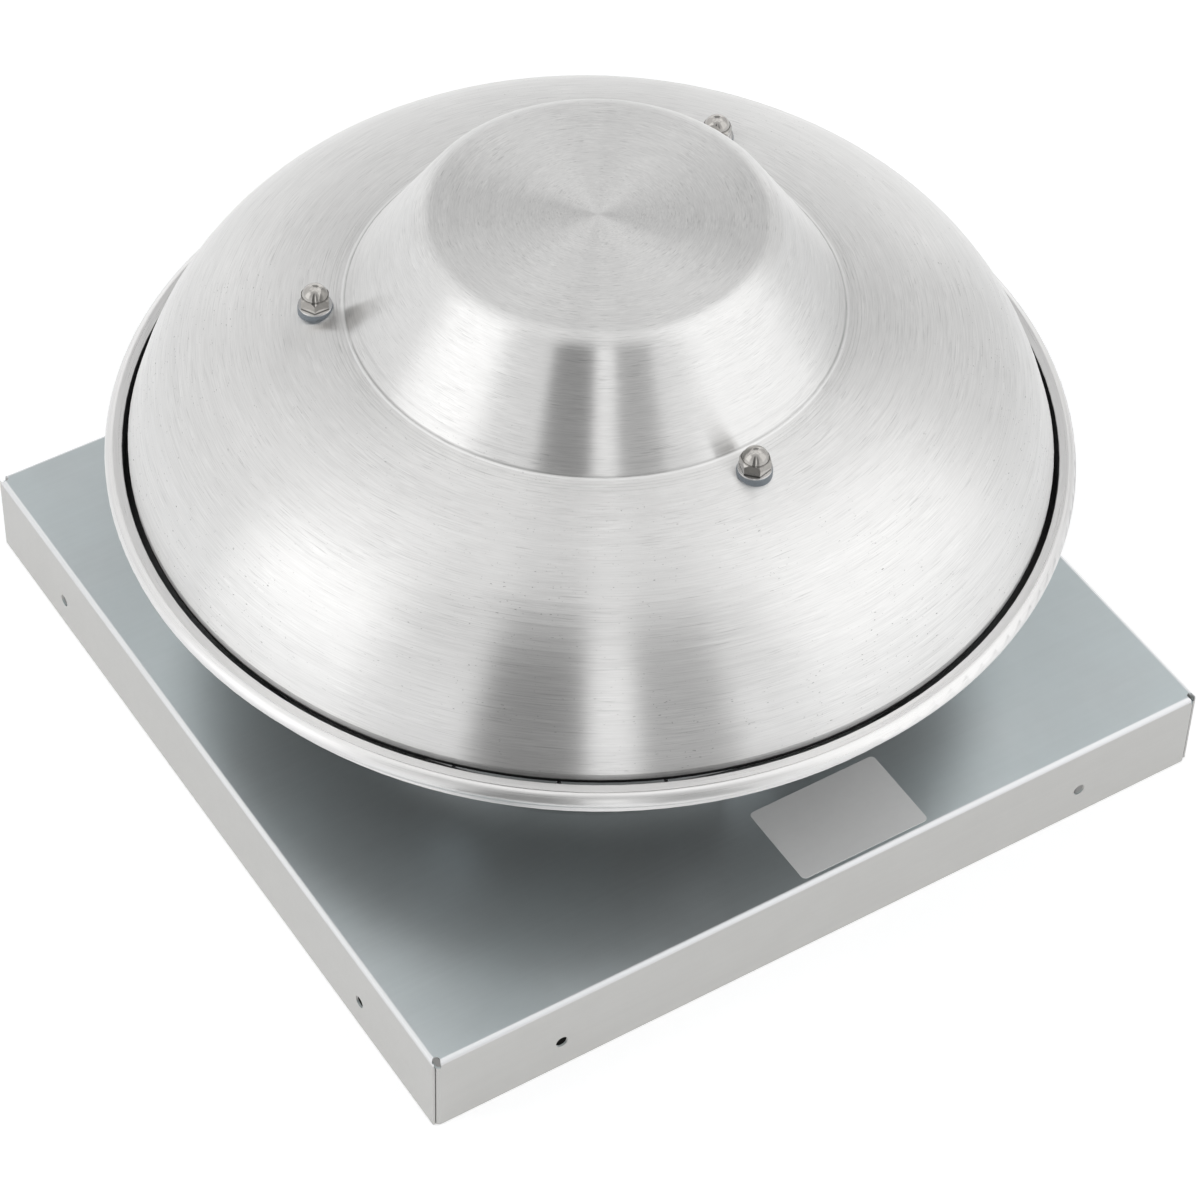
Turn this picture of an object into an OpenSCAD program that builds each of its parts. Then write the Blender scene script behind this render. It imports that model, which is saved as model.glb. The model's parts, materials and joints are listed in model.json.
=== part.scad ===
// Axial roof exhaust fan, downblast form: a spun hood over a windband, on a square curb cap.
// The origin is the middle of the cap's underside, +Z is up and -Y is one side of the cap.

/* [Curb cap] */
// Side of the square cap
cap_side = 482.6; // [470:0.1:560]
// Height of the cap over its flanges
cap_height = 51.8; // [40:0.1:80]
// Sheet thickness of the cap
cap_sheet = 1.2; // [0.8:0.1:2]
// Inside bend radius where the top turns down
cap_bend = 1.4; // [0.5:0.1:3]
// Gap between a flange's end and the corner
corner_gap = 1.5; // [1:0.1:4]
// Length of the lapped tab behind a corner
corner_tab = 24; // [15:1:40]
// Diameter of the curb screw holes
flange_hole_d = 7.1; // [4:0.1:10]
// Distance between the two holes of one flange
flange_hole_span = 330.2; // [200:0.1:400]
// Height of the screw holes above the flange bottom
flange_hole_z = 19.8; // [10:0.1:30]

/* [Throat] */
// Inside radius of the throat
throat_r = 155.5; // [150:0.1:162]
// Sheet thickness of the throat
throat_sheet = 1.2; // [0.8:0.1:2.5]
// Height of the throat above the cap
throat_h = 76.2; // [70:0.1:85]
// Width of the foot flange outside the throat's wall
throat_foot = 6.8; // [4:0.1:12]

/* [Windband] */
// Inside radius of the lip at the top of the windband
band_lip_r = 249.7; // [240:0.1:260]
// Height of the lip
band_lip_z = 174.2; // [165:0.1:190]
// Sheet thickness of the windband
band_sheet = 1.2; // [0.8:0.1:2]
// Radius of the rolled bead under the lip
bead_r = 4.6; // [3:0.05:6]
// Drop from the lip to the bead's centre
bead_drop = 5.1; // [4:0.1:8]
// Drop from the lip to where the wall turns in
band_straight = 19.2; // [14:0.1:22]
// How far the windband's foot stands in from its lip
band_turn_in = 29.4; // [22:0.1:36]
// Width of the flange turned in at the foot
band_flange = 9; // [7:0.1:14]

/* [Hood] */
// Sheet thickness of the hood
hood_sheet = 1.5; // [1:0.1:2.5]
// Gap between the hood's rim and the windband's lip
hood_gap = 3.3; // [2:0.1:8]
// Height of the upright rim below the hood's crease
hood_rim_h = 6; // [4:0.1:10]
// How far the rim reaches down inside the windband's lip
rim_drop = 2.3; // [0:0.1:4]
// Slope of the hat's wall in degrees
hat_slope = 57; // [50:0.5:65]
// Height of the hat above the hood
hat_h = 58.6; // [50:0.1:75]
// Outside radius of the hat's shoulder
shoulder_r = 14; // [6:0.5:20]

/* [Hood fastening] */
// Distance of the hood studs inside the throat's wall
stud_inset = 10.5; // [9:0.1:14]
// Distance of the hood studs outside the hat's foot
stud_offset = 15; // [13:0.1:18]
// Angle of the first stud
stud_angle = 31.2; // [0:0.1:60]
// Diameter of the studs
stud_d = 9.5; // [6:0.1:10]
// Width of the acorn nuts over their flats
acorn_flats = 14.3; // [13.6:0.1:17]
// Height of the acorn nuts
acorn_h = 12.4; // [12:0.1:18]
// Outside radius of the sealing washers
seal_r = 9.2; // [8.5:0.1:11]
// Outside radius of the steel washers on them
washer_r = 8.9; // [8.3:0.1:11]

/* [Motor mount] */
// Height of the motor plate's underside
plate_z = 175; // [168:0.1:182]
// Thickness of the motor plate and the legs
plate_t = 3; // [2:0.1:4]
// Width of the legs and of the plate's arms
leg_w = 30; // [26:0.5:36]
// Width of the windband's arms
arm_w = 26; // [20:0.5:32]

/* [Motor] */
// Outside radius of the motor case
case_r = 63.5; // [60:0.1:66]
// Height of the motor case between its end bells
case_h = 72; // [60:0.5:80]
// Height of each end bell
bell_h = 13; // [11:0.5:16]
// Radius of the shaft
shaft_r = 6.35; // [5:0.05:7]
// Radius of the rotor
rotor_r = 32; // [28:0.1:36]

/* [Propeller] */
// Gap between the blade tips and the throat
tip_gap = 3.1; // [2:0.1:8]
// Height of the propeller's middle
prop_z = 88; // [84:0.1:92]
// Number of blades
blade_count = 5; // [3:1:6]
// Chord of a blade at its root
root_chord = 40; // [30:0.5:42]
// Chord of a blade near its tip
tip_chord = 88; // [60:0.5:95]
// Pitch at the root in degrees
root_pitch = 36; // [28:0.5:42]
// Pitch at the tip in degrees
tip_pitch = 22; // [16:0.5:28]
// Camber of a blade as a share of its chord
blade_camber = 0.07; // [0:0.005:0.12]
// Thickness of the blade sheet
blade_t = 1.6; // [1:0.1:2.5]
// Radius of a blade's tip corners
tip_corner = 14; // [8:0.5:20]
// Forward skew of a blade's tip in degrees
blade_skew = 9; // [0:0.5:14]

/* [Guard] */
// Diameter of the guard's wire
wire_d = 3; // [2:0.1:4]
// Number of ring wires in the guard
ring_count = 4; // [3:1:6]
// Number of radial wires in one guard panel
radial_count = 4; // [2:1:6]

/* [Hidden] */
$fn = 96;
eps = 0.01;
fit = 0.05;
clear = 0.3;
// Cutters pass a face by over, and those for sheets are cut long.
over = 1;
cut = 12;

// Three studs, legs and windband arms stand 120 degrees apart, the arms between the legs.
bracket_count = 3;
panel_count = 2 * bracket_count;
bracket_step = 360 / bracket_count;
function stud_turn(i) = stud_angle + i * bracket_step;
function arm_turn(i) = stud_turn(i) + bracket_step / 2;

// The cap's bend has one centre for its inside and outside faces.
cap_bend_out = cap_bend + cap_sheet;
cap_half = cap_side / 2;
tab_inset = cap_sheet + clear;
lap_drop = 1.8;
lap_top_z = cap_height - cap_bend_out - lap_drop;
corner_notch_r = 2.2;

// Throat
throat_out = throat_r + throat_sheet;
throat_top = cap_height + throat_h;
foot_r = throat_out + throat_foot;
throat_bend = 2;
throat_bend_steps = 5;

// Windband: a lip that runs flat to the crown of a rolled bead, a wall that turns in and a foot
// flange level with the throat.
band_out = band_lip_r + band_sheet;
band_foot_r = band_out - band_turn_in;
band_foot_z = throat_top;
bead_centre_r = band_lip_r + band_sheet / 4 + bead_r;
bead_z = band_lip_z - bead_drop;
band_turn_z = band_lip_z - band_straight;
lip_ease = 0.35;

// The studs stand inside the throat's wall, and the hat's foot stands inside the studs.
stud_ring_r = throat_r - stud_inset;
hat_foot_r = stud_ring_r - stud_offset;

// Hood: the slope in degrees at shares of the way from the hat's foot to the rim.
rim_r = band_lip_r - hood_gap;
hood_slopes = [[0, 9], [0.3, 14], [0.56, 26], [0.73, 43.5], [0.86, 59], [0.945, 69], [1, 75]];
hood_steps = 24;
hood_step = (rim_r - hat_foot_r) / hood_steps;
function hood_slope(share) = lookup(share, hood_slopes);
function hood_drop(k) = k == 0 ? 0 : hood_drop(k - 1) + hood_step * tan(hood_slope((k - 0.5) / hood_steps));
crease_z = band_lip_z + hood_rim_h - rim_drop;
hat_foot_z = crease_z + hood_drop(hood_steps);
hat_top_z = hat_foot_z + hat_h;
function hood_point(k) = [hat_foot_r + k * hood_step, hat_foot_z - hood_drop(k)];
hood_curve = [for (k = [0:hood_steps]) hood_point(k)];
function hood_z(r) = lookup(r, hood_curve);

// Hat: a flat top, a round shoulder and a straight wall down to the hood's foot.
shoulder_z = hat_top_z - shoulder_r;
wall_reach = hat_foot_r * sin(hat_slope) + hat_foot_z * cos(hat_slope);
shoulder_centre = (wall_reach - shoulder_r - shoulder_z * cos(hat_slope)) / sin(hat_slope);
shoulder_steps = 8;
function shoulder_turn(k) = hat_slope * k / shoulder_steps;
shoulder_curve = [for (k = [0:shoulder_steps])
    [shoulder_centre + shoulder_r * sin(shoulder_turn(k)), shoulder_z + shoulder_r * cos(shoulder_turn(k))]];
rim_ease = 0.6;
hood_rim = [[rim_r, crease_z - rim_ease], [rim_r, crease_z - hood_rim_h]];
hood_outline = concat([[0, hat_top_z]], shoulder_curve, hood_curve, hood_rim);

// A sheet's other face lies square to each stretch of its outline, to the right of its run.
function unit(v) = v / norm(v);
function side_normal(a, b) = unit([a[1] - b[1], b[0] - a[0]]);
function corner_shift(n, m) = (n + m) / (1 + n * m);
function inner_face(path, t) = let (last = len(path) - 1) [for (i = [0:last])
    let (n = side_normal(path[max(i - 1, 0)], path[max(i, 1)]))
    let (m = side_normal(path[min(i, last - 1)], path[min(i + 1, last)]))
    path[i] - t * corner_shift(n, m)];
function reversed(path) = [for (i = [len(path) - 1:-1:0]) path[i]];

// Hood fastening
stud_r = stud_d / 2;
stud_hole_r = stud_r + 0.5;
stud_reach = seal_r + 1;
washer_t = 1.4;
seal_rise = seal_r * tan(hood_slope((stud_ring_r - hat_foot_r) / (rim_r - hat_foot_r))) + clear;
seal_top = hood_z(stud_ring_r) + seal_rise;
nut_z = seal_top + washer_t;
acorn_hex_h = 6.8;
acorn_dome_r = acorn_flats / 2 - 0.15;
acorn_bore_h = acorn_h - 4;
// Each nut came to rest at its own angle when it was tightened.
acorn_turns = [8, 28, 43];
acorn_chamfer_r = acorn_flats / 2 + 4;
spacer_out = stud_r + 3;
stud_nut_h = 7;
stud_nut_flats = stud_d * 1.5;
stud_low_z = plate_z - plate_t - stud_nut_h - 3;

// Motor mount
plate_top = plate_z + plate_t;
leg_out = throat_out + plate_t;
leg_inset = 12;
leg_lift = 6;
leg_in_r = stud_ring_r - leg_inset;
leg_foot_z = cap_height + leg_lift;
leg_rivet_low = 18;
leg_rivet_high = 52;
leg_rivet_z = [cap_height + leg_rivet_low, cap_height + leg_rivet_high];
disc_edge = 9;
disc_r = case_r + disc_edge;
plate_hole_r = 22;
arm_tab_h = 27;
arm_rivet_drop = 17;
arm_rivet_z = throat_top - arm_rivet_drop;
arm_rivet_turn = 2.6;
band_rivet_r = band_foot_r - band_flange / 2 - band_sheet;
rivet_r = 2.4;
rivet_head_r = 4.2;
rivet_head_h = 1.8;
rivet_tail_h = 1.2;
rivet_tail_extra = 1;
rivet_dome_extra = 0.6;

// Motor
bell_t = 3;
case_t = 1.6;
case_z = plate_top + bell_h;
bell_top_z = case_z + case_h;
boss_r = 17;
bearing_r = 11;
bearing_h = 10;
bearing_low_z = plate_top - bell_t;
bearing_high_z = bell_top_z + bell_h - bearing_h;
boss_low_z = plate_z - 8;
boss_high_z = bell_top_z + bell_h + 5;
shaft_below = 18;
shaft_end_z = prop_z - shaft_below;
shaft_top_z = boss_high_z + 2;
rotor_h = 42;
rotor_z = case_z + (case_h - rotor_h) / 2;
air_gap = 0.4;
coil_r = 7.5;
coil_ring_r = (rotor_r + case_r) / 2;
motor_bolt_at = case_r - 9;
motor_bolt_r = 2.5;
motor_bolt_count = 4;
motor_bolt_turn = 10;
motor_bolt_flats = 8;
motor_bolt_head_h = 3.5;
bolt_boss_r = motor_bolt_r + 3;
shaft_hole_r = shaft_r + 1.5;
bell_slot_count = 8;
bell_slot_w = 5;
bell_slot_r = boss_r + 9;
bell_slot_room = 25;
bell_slot_l = case_r - boss_r - bell_slot_room;

// Junction box and capacitor on two arms of the motor plate
box_gap = 11;
box_in_r = case_r + box_gap;
box_end_gap = 14.75;
box_l = stud_ring_r - spacer_out - box_end_gap - box_in_r;
box_w = 44;
box_h = 36;
box_wall = 1.5;
box_inset = 9;
cover_lip = 4;
screw_head_h = 3;
screw_head_r = motor_bolt_r + 2;
screw_tail = 3;
nipple_r = 8;
nipple_bore_r = 6;
nipple_z = case_z + nipple_r + 1;
nipple_reach = box_in_r - case_r + box_wall + 2;
lock_nut_flats = 2 * nipple_r + 6;
lock_nut_h = 4;
cap_can_r = 15;
cap_can_h = 52;
cap_can_gap = 19;
cap_can_at = case_r + cap_can_gap + cap_can_r;
strap_t = 1.2;
strap_h = 14;
strap_foot = 11;
strap_w = 14;
strap_nut_r = motor_bolt_r + 1.2;
strap_nut_h = 1.5;
terminal = [0.8, 6, 7];
terminal_at = 5;

// Propeller
tip_r = throat_r - tip_gap;
root_r = 33;
flat_r = 64;
hub_r = 15;
hub_h = 26;
hub_below = 12;
hub_low_z = prop_z - hub_below;
spider_r = 31;
spider_t = 3;
spider_arm_w = 30;
spider_arm_end = flat_r - 2;
spider_arm_start = hub_r - 8;
blade_rivet_r = 2;
blade_rivet_head_r = 3.4;
blade_rivet_x = [root_r + 8, flat_r - 10];
blade_rivet_y = 8;
set_screw_r = 3;
set_screw_z = hub_low_z + 5;

// Guard
wire_r = wire_d / 2;
guard_gap = 0.1;
guard_z = band_foot_z - wire_r - guard_gap;
weld_sink = 0.4;
radial_z = guard_z - wire_d + 3 * weld_sink;
radial_inset = 0.6;
guard_in_r = throat_out + wire_r + guard_gap;
guard_out_r = band_foot_r - band_flange / 2;
panel_half = bracket_step / 4 - 6.7;

// Helpers

module ring(r_in, r_out, h) {
    difference() {
        cylinder(r = r_out, h = h);
        translate([0, 0, -over]) cylinder(r = r_in, h = h + 2 * over);
    }
}

module at_polar(turn, r, z) {
    rotate([0, 0, turn]) translate([r, 0, z]) children();
}

// A rivet along +Z: its shank starts under the head, which stands on z = 0 and points down.
module rivet(grip, r = rivet_r, head = rivet_head_r) {
    intersection() {
        translate([0, 0, -rivet_head_h]) cylinder(r = head, h = rivet_head_h);
        translate([0, 0, head + rivet_dome_extra - rivet_head_h]) sphere(r = head + rivet_dome_extra);
    }
    cylinder(r = r, h = grip + rivet_tail_h);
    translate([0, 0, grip]) cylinder(r = r + rivet_tail_extra, h = rivet_tail_h);
}

module hex_prism(flats, h) {
    cylinder(r = flats / sqrt(3), h = h, $fn = 6);
}

// Curb cap

// One bent edge and its flange, along +X at the -Y side.
module cap_edge(length) {
    rotate([90, 0, 90]) translate([0, 0, -length / 2]) linear_extrude(length) {
        intersection() {
            translate([-cap_half + cap_bend_out, cap_height - cap_bend_out]) difference() {
                circle(r = cap_bend_out);
                circle(r = cap_bend);
            }
            translate([-cap_half, cap_height - cap_bend_out]) square(cap_bend_out);
        }
        translate([-cap_half, 0]) square([cap_sheet, cap_height - cap_bend_out]);
    }
}

// The upright bend at the end of a +Y or -Y flange, and the tab that laps behind the next flange.
module corner_lap() {
    bend_at = -cap_half + tab_inset + cap_bend_out;
    intersection() {
        translate([bend_at, -cap_half + cap_bend_out, 0]) ring(cap_bend, cap_bend_out, lap_top_z);
        translate([bend_at - cap_bend_out, -cap_half, 0]) cube([cap_bend_out, cap_bend_out, lap_top_z]);
    }
    translate([bend_at - cap_bend_out, -cap_half + cap_bend_out, 0]) cube([cap_sheet, corner_tab, lap_top_z]);
}

module curb_cap() {
    top_side = cap_side - 2 * cap_bend_out;
    lapped = cap_side - 2 * (tab_inset + cap_bend_out);
    color("lightsteelblue") difference() {
        union() {
            translate([-top_side / 2, -top_side / 2, cap_height - cap_sheet])
                cube([top_side, top_side, cap_sheet]);
            for (turn = [0, 180]) rotate([0, 0, turn]) cap_edge(lapped);
            for (turn = [90, 270]) rotate([0, 0, turn]) cap_edge(cap_side - 2 * corner_gap);
            for (x = [0, 1]) for (y = [0, 1]) mirror([x, 0, 0]) mirror([0, y, 0]) corner_lap();
        }
        translate([0, 0, cap_height / 2]) cylinder(r = throat_r + throat_bend, h = cap_height);
        for (x = [-1, 1]) for (y = [-1, 1]) translate([x, y, 0] * (cap_half - cap_bend_out))
            translate([0, 0, lap_top_z]) cylinder(r = corner_notch_r, h = cap_height);
        for (turn = [0:90:270]) for (side = [-1, 1]) rotate([0, 0, turn])
            translate([side * flange_hole_span / 2, -cap_half - over, flange_hole_z])
            rotate([-90, 0, 0]) cylinder(d = flange_hole_d, h = cap_sheet + clear + 2 * over);
    }
}

// Throat

module throat() {
    bend = [for (k = [0:throat_bend_steps]) let (turn = 180 + 90 * k / throat_bend_steps)
        [throat_out + throat_bend * (1 + cos(turn)), cap_height + throat_sheet + throat_bend * (1 + sin(turn))]];
    face = concat([[throat_out, throat_top]], bend, [[foot_r, cap_height + throat_sheet]]);
    color("silver") difference() {
        rotate_extrude() polygon(concat(face, reversed(inner_face(face, throat_sheet))));
        throat_rivet_holes();
    }
}

module throat_rivet_holes() {
    for (i = [0:bracket_count - 1]) {
        for (z = leg_rivet_z) leg_rivet_place(i, z) cylinder(r = rivet_r + fit, h = cut, center = true);
        for (side = [-1, 1]) arm_rivet_place(i, side) cylinder(r = rivet_r + fit, h = cut, center = true);
    }
}

module leg_rivet_place(i, z) {
    at_polar(stud_turn(i), leg_out, z) rotate([0, -90, 0]) children();
}

module arm_rivet_place(i, side) {
    at_polar(arm_turn(i) + side * arm_rivet_turn, leg_out, arm_rivet_z) rotate([0, -90, 0]) children();
}

// Windband

module windband() {
    wall = [[band_out, band_lip_z - lip_ease], [band_out, band_turn_z], [band_foot_r, band_foot_z],
        [band_foot_r - band_flange, band_foot_z]];
    lip = [[band_lip_r + lip_ease, band_lip_z], [band_out - lip_ease, band_lip_z]];
    color("gainsboro") difference() {
        union() {
            rotate_extrude() polygon(concat(wall, reversed(inner_face(wall, band_sheet)), lip));
            rotate_extrude() translate([bead_centre_r, bead_z]) circle(r = bead_r);
            translate([0, 0, bead_z]) ring(band_lip_r + band_sheet / 2, bead_centre_r, band_lip_z - bead_z);
        }
        for (i = [0:bracket_count - 1]) at_polar(arm_turn(i), band_rivet_r, band_foot_z)
            cylinder(r = rivet_r + fit, h = cut, center = true);
    }
}

// Hood

module hood() {
    color("whitesmoke") difference() {
        rotate_extrude() polygon(concat(hood_outline, reversed(inner_face(hood_outline, hood_sheet))));
        for (i = [0:bracket_count - 1]) at_polar(stud_turn(i), stud_ring_r, hood_z(stud_ring_r))
            cylinder(r = stud_hole_r, h = cut, center = true);
    }
}

// The space above the hood's outside near the studs, and after it the space below its inside.
module above_hood() {
    rotate_extrude() polygon(concat([for (p = hood_curve) if (p[0] < stud_ring_r + 2 * stud_reach) p],
        [[stud_ring_r + 2 * stud_reach, hat_top_z], [hat_foot_r, hat_top_z]]));
}

module below_hood() {
    under = inner_face(hood_curve, hood_sheet);
    rotate_extrude() polygon(concat([for (p = under) if (p[0] < stud_ring_r + 2 * stud_reach) p],
        [[stud_ring_r + 2 * stud_reach, plate_z], [hat_foot_r, plate_z]]));
}

module studs() {
    color("silver") for (i = [0:bracket_count - 1]) at_polar(stud_turn(i), stud_ring_r, stud_low_z)
        cylinder(r = stud_r, h = nut_z + acorn_bore_h - clear - stud_low_z);
}

module stud_nuts() {
    color("silver") for (i = [0:bracket_count - 1])
        at_polar(stud_turn(i), stud_ring_r, plate_z - plate_t - stud_nut_h) difference() {
            hex_prism(stud_nut_flats, stud_nut_h);
            translate([0, 0, -over]) cylinder(r = stud_r + fit, h = stud_nut_h + 2 * over);
        }
}

module spacers() {
    color("silver") intersection() {
        for (i = [0:bracket_count - 1]) at_polar(stud_turn(i), stud_ring_r, plate_top)
            ring(stud_r + clear, spacer_out, hood_z(stud_ring_r) - plate_top);
        below_hood();
    }
}

module seal_washers() {
    color("slategray") intersection() {
        for (i = [0:bracket_count - 1]) at_polar(stud_turn(i), stud_ring_r, seal_top - 2 * seal_rise)
            ring(stud_hole_r, seal_r, 2 * seal_rise);
        above_hood();
    }
}

module hood_washers() {
    color("silver") for (i = [0:bracket_count - 1]) at_polar(stud_turn(i), stud_ring_r, seal_top)
        ring(stud_hole_r, washer_r, washer_t);
}

module acorn_nuts() {
    color("silver") for (i = [0:bracket_count - 1])
        at_polar(stud_turn(i), stud_ring_r, nut_z) difference() {
        union() {
            intersection() {
                rotate([0, 0, acorn_turns[i]]) hex_prism(acorn_flats, acorn_hex_h);
                cylinder(r1 = acorn_chamfer_r, r2 = acorn_flats / 2, h = acorn_hex_h);
            }
            cylinder(r = acorn_dome_r, h = acorn_h - acorn_dome_r);
            translate([0, 0, acorn_h - acorn_dome_r]) intersection() {
                sphere(r = acorn_dome_r);
                cylinder(r = acorn_dome_r + over, h = acorn_h);
            }
        }
        translate([0, 0, -over]) cylinder(r = stud_r + fit, h = acorn_bore_h + over);
    }
}

// Legs, arms and motor plate

module leg(i) {
    color("darkgray") difference() {
        intersection() {
            union() {
                translate([0, 0, leg_foot_z]) ring(throat_out, leg_out, plate_z - leg_foot_z);
                translate([0, 0, plate_z - plate_t]) ring(leg_in_r, leg_out, plate_t);
            }
            rotate([0, 0, stud_turn(i)]) translate([leg_in_r - over, -leg_w / 2, 0])
                cube([leg_out, leg_w, plate_z + over]);
        }
        at_polar(stud_turn(i), stud_ring_r, plate_z) cylinder(r = stud_hole_r, h = cut, center = true);
        for (z = leg_rivet_z) leg_rivet_place(i, z) cylinder(r = rivet_r + fit, h = cut, center = true);
    }
}

module band_arm(i) {
    reach = band_foot_r - band_sheet;
    color("darkgray") difference() {
        intersection() {
            union() {
                translate([0, 0, band_foot_z - arm_tab_h]) ring(throat_out, leg_out, arm_tab_h);
                translate([0, 0, band_foot_z - plate_t]) ring(throat_out, reach, plate_t);
            }
            rotate([0, 0, arm_turn(i)]) translate([throat_r - over, -arm_w / 2, 0])
                cube([reach, arm_w, band_foot_z + over]);
        }
        at_polar(arm_turn(i), band_rivet_r, band_foot_z) cylinder(r = rivet_r + fit, h = cut, center = true);
        for (side = [-1, 1]) arm_rivet_place(i, side) cylinder(r = rivet_r + fit, h = cut, center = true);
    }
}

module throat_rivets() {
    grip = plate_t + throat_sheet + fit;
    color("silver") for (i = [0:bracket_count - 1]) {
        for (z = leg_rivet_z) leg_rivet_place(i, z) rivet(grip);
        for (side = [-1, 1]) arm_rivet_place(i, side) rivet(grip);
    }
}

module band_rivets() {
    grip = plate_t + band_sheet;
    color("silver") for (i = [0:bracket_count - 1]) at_polar(arm_turn(i), band_rivet_r, band_foot_z - plate_t)
        rivet(grip);
}

module motor_plate() {
    color("darkgray") difference() {
        translate([0, 0, plate_z]) union() {
            cylinder(r = disc_r, h = plate_t);
            intersection() {
                cylinder(r = leg_out, h = plate_t);
                for (i = [0:bracket_count - 1]) rotate([0, 0, stud_turn(i)]) translate([0, -leg_w / 2, 0])
                    cube([leg_out, leg_w, plate_t]);
            }
        }
        translate([0, 0, plate_z]) {
            cylinder(r = plate_hole_r, h = cut, center = true);
            for (i = [0:bracket_count - 1]) at_polar(stud_turn(i), stud_ring_r, 0)
                cylinder(r = stud_hole_r, h = cut, center = true);
            motor_bolt_places() cylinder(r = motor_bolt_r + fit, h = cut, center = true);
            for (side = [-1, 1]) box_screw_place(side)
                cylinder(r = motor_bolt_r + fit, h = cut, center = true);
            strap_screw_place() cylinder(r = motor_bolt_r + fit, h = cut, center = true);
        }
    }
}

// Motor

module motor_bolt_places() {
    for (k = [0:motor_bolt_count - 1])
        at_polar(motor_bolt_turn + k * 360 / motor_bolt_count, motor_bolt_at, 0)
        children();
}

module bell_shell() {
    difference() {
        union() {
            cylinder(r = case_r, h = bell_h);
            cylinder(r = boss_r, h = bell_h);
        }
        translate([0, 0, bell_t]) ring(boss_r, case_r - bell_t, bell_h);
        for (k = [0:bell_slot_count - 1]) rotate([0, 0, (k + 0.5) * 360 / bell_slot_count])
            translate([bell_slot_r, -bell_slot_w / 2, -over])
                cube([bell_slot_l, bell_slot_w, bell_t + 2 * over]);
        translate([0, 0, -over]) cylinder(r = bearing_r, h = bell_h + 2 * over);
    }
}

module bell_lower() {
    color("dimgray") difference() {
        union() {
            translate([0, 0, plate_top]) bell_shell();
            translate([0, 0, boss_low_z]) ring(shaft_hole_r, boss_r, plate_top - boss_low_z);
            motor_bolt_places() translate([0, 0, plate_top]) cylinder(r = bolt_boss_r, h = bell_h);
        }
        motor_bolt_places() translate([0, 0, plate_top - over])
            cylinder(r = motor_bolt_r + fit, h = bell_h - over);
        translate([0, 0, bearing_low_z]) cylinder(r = bearing_r, h = bell_h);
    }
}

module bell_upper() {
    color("dimgray") difference() {
        union() {
            translate([0, 0, bell_top_z + bell_h]) mirror([0, 0, 1]) bell_shell();
            translate([0, 0, bell_top_z + bell_h - eps])
                cylinder(r = boss_r, h = boss_high_z - bell_top_z - bell_h);
        }
        translate([0, 0, bearing_high_z]) cylinder(r = bearing_r, h = bearing_h);
        translate([0, 0, bell_top_z]) cylinder(r = shaft_hole_r, h = 2 * bell_h);
    }
}

module motor_case() {
    color("dimgray") difference() {
        translate([0, 0, case_z]) ring(case_r - case_t, case_r, case_h);
        nipple_place() cylinder(r = nipple_r + clear, h = cut, center = true);
    }
}

module stator_core() {
    color("gray") translate([0, 0, rotor_z]) ring(rotor_r + air_gap, case_r - case_t, rotor_h);
}

module stator_coils() {
    color("peru") for (z = [rotor_z - coil_r, rotor_z + rotor_h + coil_r])
        rotate_extrude() translate([coil_ring_r, z]) circle(r = coil_r);
}

module bearings() {
    color("silver") for (z = [bearing_low_z, bearing_high_z])
        translate([0, 0, z]) ring(shaft_r + fit, bearing_r, bearing_h);
}

module motor_bolts() {
    color("silver") motor_bolt_places() translate([0, 0, plate_z - motor_bolt_head_h]) {
        hex_prism(motor_bolt_flats, motor_bolt_head_h);
        cylinder(r = motor_bolt_r, h = motor_bolt_head_h + plate_t + bell_h - bell_t - over);
    }
}

module nipple_place() {
    at_polar(stud_turn(1), case_r, nipple_z) rotate([0, 90, 0]) children();
}

module conduit_nipple() {
    color("silver") nipple_place() difference() {
        union() {
            translate([0, 0, clear - case_t]) cylinder(r = nipple_r, h = nipple_reach + case_t - clear);
            hex_prism(lock_nut_flats, lock_nut_h);
            translate([0, 0, box_in_r - case_r - lock_nut_h]) hex_prism(lock_nut_flats, lock_nut_h);
        }
        translate([0, 0, -case_t]) cylinder(r = nipple_bore_r, h = nipple_reach + case_t + over);
    }
}

module box_screw_place(side) {
    at_polar(stud_turn(1), box_in_r + box_l / 2 + side * (box_l / 2 - box_inset / 2 - box_wall), 0) children();
}

module junction_box() {
    color("gainsboro") difference() {
        rotate([0, 0, stud_turn(1)]) translate([box_in_r, -box_w / 2, plate_top]) difference() {
            cube([box_l, box_w, box_h]);
            translate([box_wall, box_wall, box_wall])
                cube([box_l - 2 * box_wall, box_w - 2 * box_wall, box_h]);
        }
        nipple_place() cylinder(r = nipple_r + clear, h = nipple_reach + over);
        for (side = [-1, 1]) box_screw_place(side) translate([0, 0, plate_top])
            cylinder(r = motor_bolt_r + fit, h = cut, center = true);
    }
}

module box_cover() {
    color("gainsboro") rotate([0, 0, stud_turn(1)]) translate([box_in_r, -box_w / 2, plate_top + box_h]) {
        cube([box_l, box_w, box_wall]);
        translate([box_wall + clear, box_wall + clear, -cover_lip]) difference() {
            cube([box_l - 2 * (box_wall + clear), box_w - 2 * (box_wall + clear), cover_lip + eps]);
            translate([box_wall, box_wall, -over])
                cube([box_l - 4 * box_wall - 2 * clear, box_w - 4 * box_wall - 2 * clear, cover_lip + 2 * over]);
        }
    }
}

module box_screws() {
    color("silver") for (side = [-1, 1]) box_screw_place(side) translate([0, 0, plate_z - screw_head_h]) {
        cylinder(r = motor_bolt_r, h = screw_head_h + plate_t + box_wall + screw_tail);
        cylinder(r = screw_head_r, h = screw_head_h);
    }
}

module capacitor() {
    color("lightgray") at_polar(stud_turn(0), cap_can_at, plate_top) {
        cylinder(r = cap_can_r, h = cap_can_h);
        for (side = [-1, 1]) translate([side * terminal_at, -terminal[1] / 2, cap_can_h]) cube(terminal);
    }
}

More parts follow.
